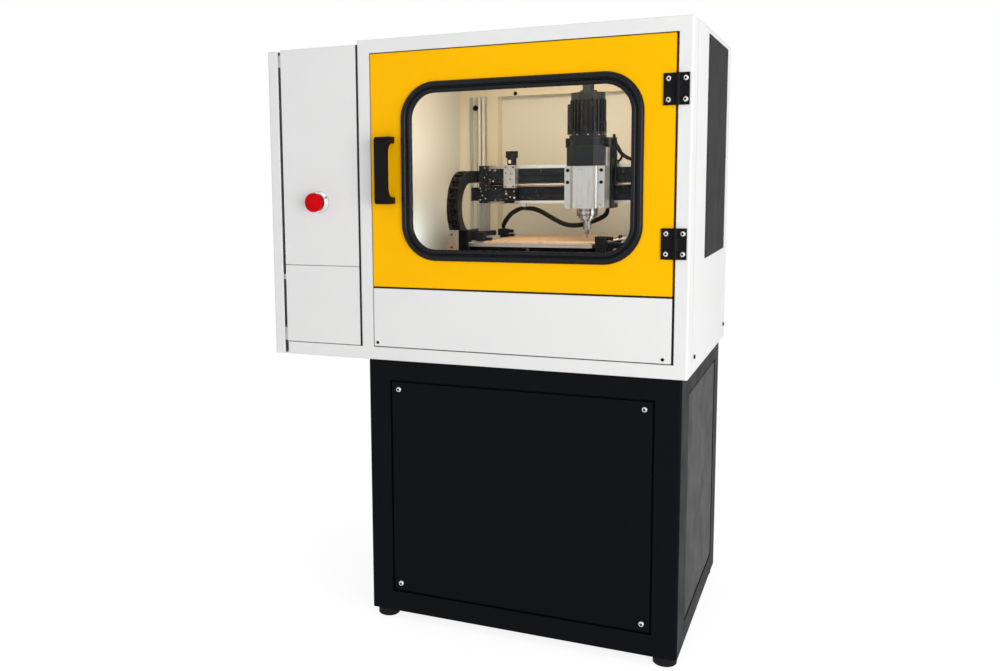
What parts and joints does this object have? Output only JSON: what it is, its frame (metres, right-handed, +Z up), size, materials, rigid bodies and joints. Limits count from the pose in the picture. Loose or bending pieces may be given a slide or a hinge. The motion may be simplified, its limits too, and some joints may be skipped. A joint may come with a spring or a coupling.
{
  "type": "cnc pcb drilling machine",
  "caption": "Gantry drilling machine for circuit boards in a windowed enclosure with a hinged door, a side control box and a steel pedestal.",
  "frame": {"origin": "on the floor, under the middle of the machine's bounding box", "axes": "+X to the right as seen from the front, +Y to the back, +Z up"},
  "size_m": [0.926, 0.63, 1.286],
  "materials": {
    "white_paint": "satin powder coat",
    "shade_white_paint": "satin powder coat",
    "yellow_paint": "satin powder coat",
    "beige_paint": "satin powder coat",
    "black_paint": "textured powder coat",
    "black_panel": "fine textured powder coat",
    "grey_paint": "satin powder coat",
    "stainless": "turned stainless steel",
    "black_steel": "black oxide",
    "foot_rubber": "matt",
    "gasket_rubber": "matt",
    "clear_pane": "clear",
    "handle_black": "satin moulded",
    "satin_chrome": "satin chrome",
    "red_plastic": "glossy moulded",
    "black_plastic": "matt moulded",
    "black_anodised": "black anodised",
    "aluminium": "milled",
    "pale_aluminium": "satin anodised",
    "ground_steel": "ground",
    "copper_clad": "copper foil on laminate",
    "chain_plastic": "matt moulded",
    "cable_rubber": "matt"
  },
  "bodies": {
    "machine": {"feet": "foot_rubber", "pedestal_frame": "black_paint", "pedestal_panels": "black_panel", "stainless_screws": "stainless", "front_frame": "white_paint", "rear_floor_shell": "shade_white_paint", "right_side_panel": "white_paint", "left_wall": "shade_white_paint", "roof_panel": "white_paint", "shelf_deck": "shade_white_paint", "inner_frame": "beige_paint", "corner_profile": "pale_aluminium", "side_cover_plate": "grey_paint", "panel_screws": "black_steel", "lower_front_panel": "white_paint", "control_box_shell": "white_paint", "control_upper_panel": "white_paint", "control_lower_panel": "white_paint", "control_left_cover": "white_paint", "estop_collar": "satin_chrome", "estop_contact_block": "black_plastic", "hinge_frame_leaves": "black_steel", "hinge_pins": "black_steel", "machine_base": "black_paint", "y_rails": "ground_steel", "bed_plate": "aluminium", "pcb_blank": "copper_clad", "clamp_blocks": "black_anodised", "rail_end_brackets": "pale_aluminium", "drag_chain": "chain_plastic", "probe_cable": "cable_rubber"},
    "door": {"door_panel": "yellow_paint", "window_gasket": "gasket_rubber", "window_pane": "clear_pane", "door_handle": "handle_black", "hinge_door_leaves": "black_steel", "door_hinge_screws": "stainless"},
    "estop_button": {"estop_plunger": "black_plastic"},
    "estop_mushroom": {"estop_cap": "red_plastic"},
    "gantry": {"gantry_legs": "pale_aluminium", "y_bearing_blocks": "black_anodised", "gantry_end_blocks": "black_anodised", "gantry_profiles": "black_anodised", "gantry_strips": "aluminium", "x_drive_box": "black_anodised", "x_bearing_block": "pale_aluminium", "carriage_cables": "cable_rubber"},
    "y_screw": {"y_leadscrew": "ground_steel"},
    "x_screw": {"x_leadscrew": "ground_steel"},
    "lock_knob": {"x_lock_knob": "black_anodised"},
    "carriage": {"x_carriage": "black_anodised"},
    "head": {"z_plate": "aluminium", "spindle_block": "pale_aluminium", "spindle_mount": "black_anodised", "spindle_motor": "black_anodised", "spindle_nose": "ground_steel"},
    "rotor": {"collet_nut": "ground_steel", "drill_bit": "ground_steel"},
    "right_knob": {"clamp_knob_right": "black_plastic"},
    "left_knob": {"clamp_knob_left": "black_plastic"}
  },
  "joints": [
    {"name": "door_hinge", "type": "hinge", "parent": "machine", "child": "door", "pos_m": [0.433, -0.275, 1.007], "axis": [0, 0, 1], "range_deg": [0, 170]},
    {"name": "estop_press", "type": "slide", "parent": "machine", "child": "estop_button", "axis": [0, 1, 0], "range_m": [0, 0.004], "stiffness_N_per_m": 400},
    {"name": "estop_twist", "type": "hinge", "parent": "estop_button", "child": "estop_mushroom", "pos_m": [-0.3385, -0.297, 0.942], "axis": [0, 1, 0], "range_deg": [0, 45], "stiffness_Nm_per_rad": 0.02},
    {"name": "y_travel", "type": "slide", "parent": "machine", "child": "gantry", "axis": [0, 1, 0], "range_m": [-0.12, 0.11], "deforming": ["drag_chain", "probe_cable"]},
    {"name": "y_screw_spin", "type": "hinge", "parent": "machine", "child": "y_screw", "pos_m": [0.087, 0.075, 0.83], "axis": [0, 1, 0], "continuous": true},
    {"name": "x_screw_spin", "type": "hinge", "parent": "gantry", "child": "x_screw", "pos_m": [0.12, 0.068, 0.9705], "axis": [1, 0, 0], "continuous": true},
    {"name": "lock_knob_turn", "type": "hinge", "parent": "gantry", "child": "lock_knob", "pos_m": [-0.002, 0.068, 1.026], "axis": [0, 0, 1], "range_deg": [0, 180]},
    {"name": "x_travel", "type": "slide", "parent": "gantry", "child": "carriage", "axis": [1, 0, 0], "range_m": [-0.12, 0.031], "deforming": ["carriage_cables"]},
    {"name": "z_travel", "type": "slide", "parent": "carriage", "child": "head", "axis": [0, 0, 1], "range_m": [-0.005, 0.04]},
    {"name": "spindle_spin", "type": "hinge", "parent": "head", "child": "rotor", "pos_m": [0.194, 0.01, 0.896], "axis": [0, 0, 1], "continuous": true},
    {"name": "right_knob_turn", "type": "hinge", "parent": "machine", "child": "right_knob", "pos_m": [0.265, -0.076, 0.856], "axis": [1, 0, 0], "range_deg": [0, 270]},
    {"name": "left_knob_turn", "type": "hinge", "parent": "machine", "child": "left_knob", "pos_m": [-0.026, 0.132, 0.858], "axis": [1, 0, 0], "range_deg": [0, 270]}
  ],
  "couplings": [
    {"joint": "y_screw_spin", "follows": "y_travel", "rad_per_m": 628.32},
    {"joint": "x_screw_spin", "follows": "x_travel", "rad_per_m": 628.32}
  ]
}
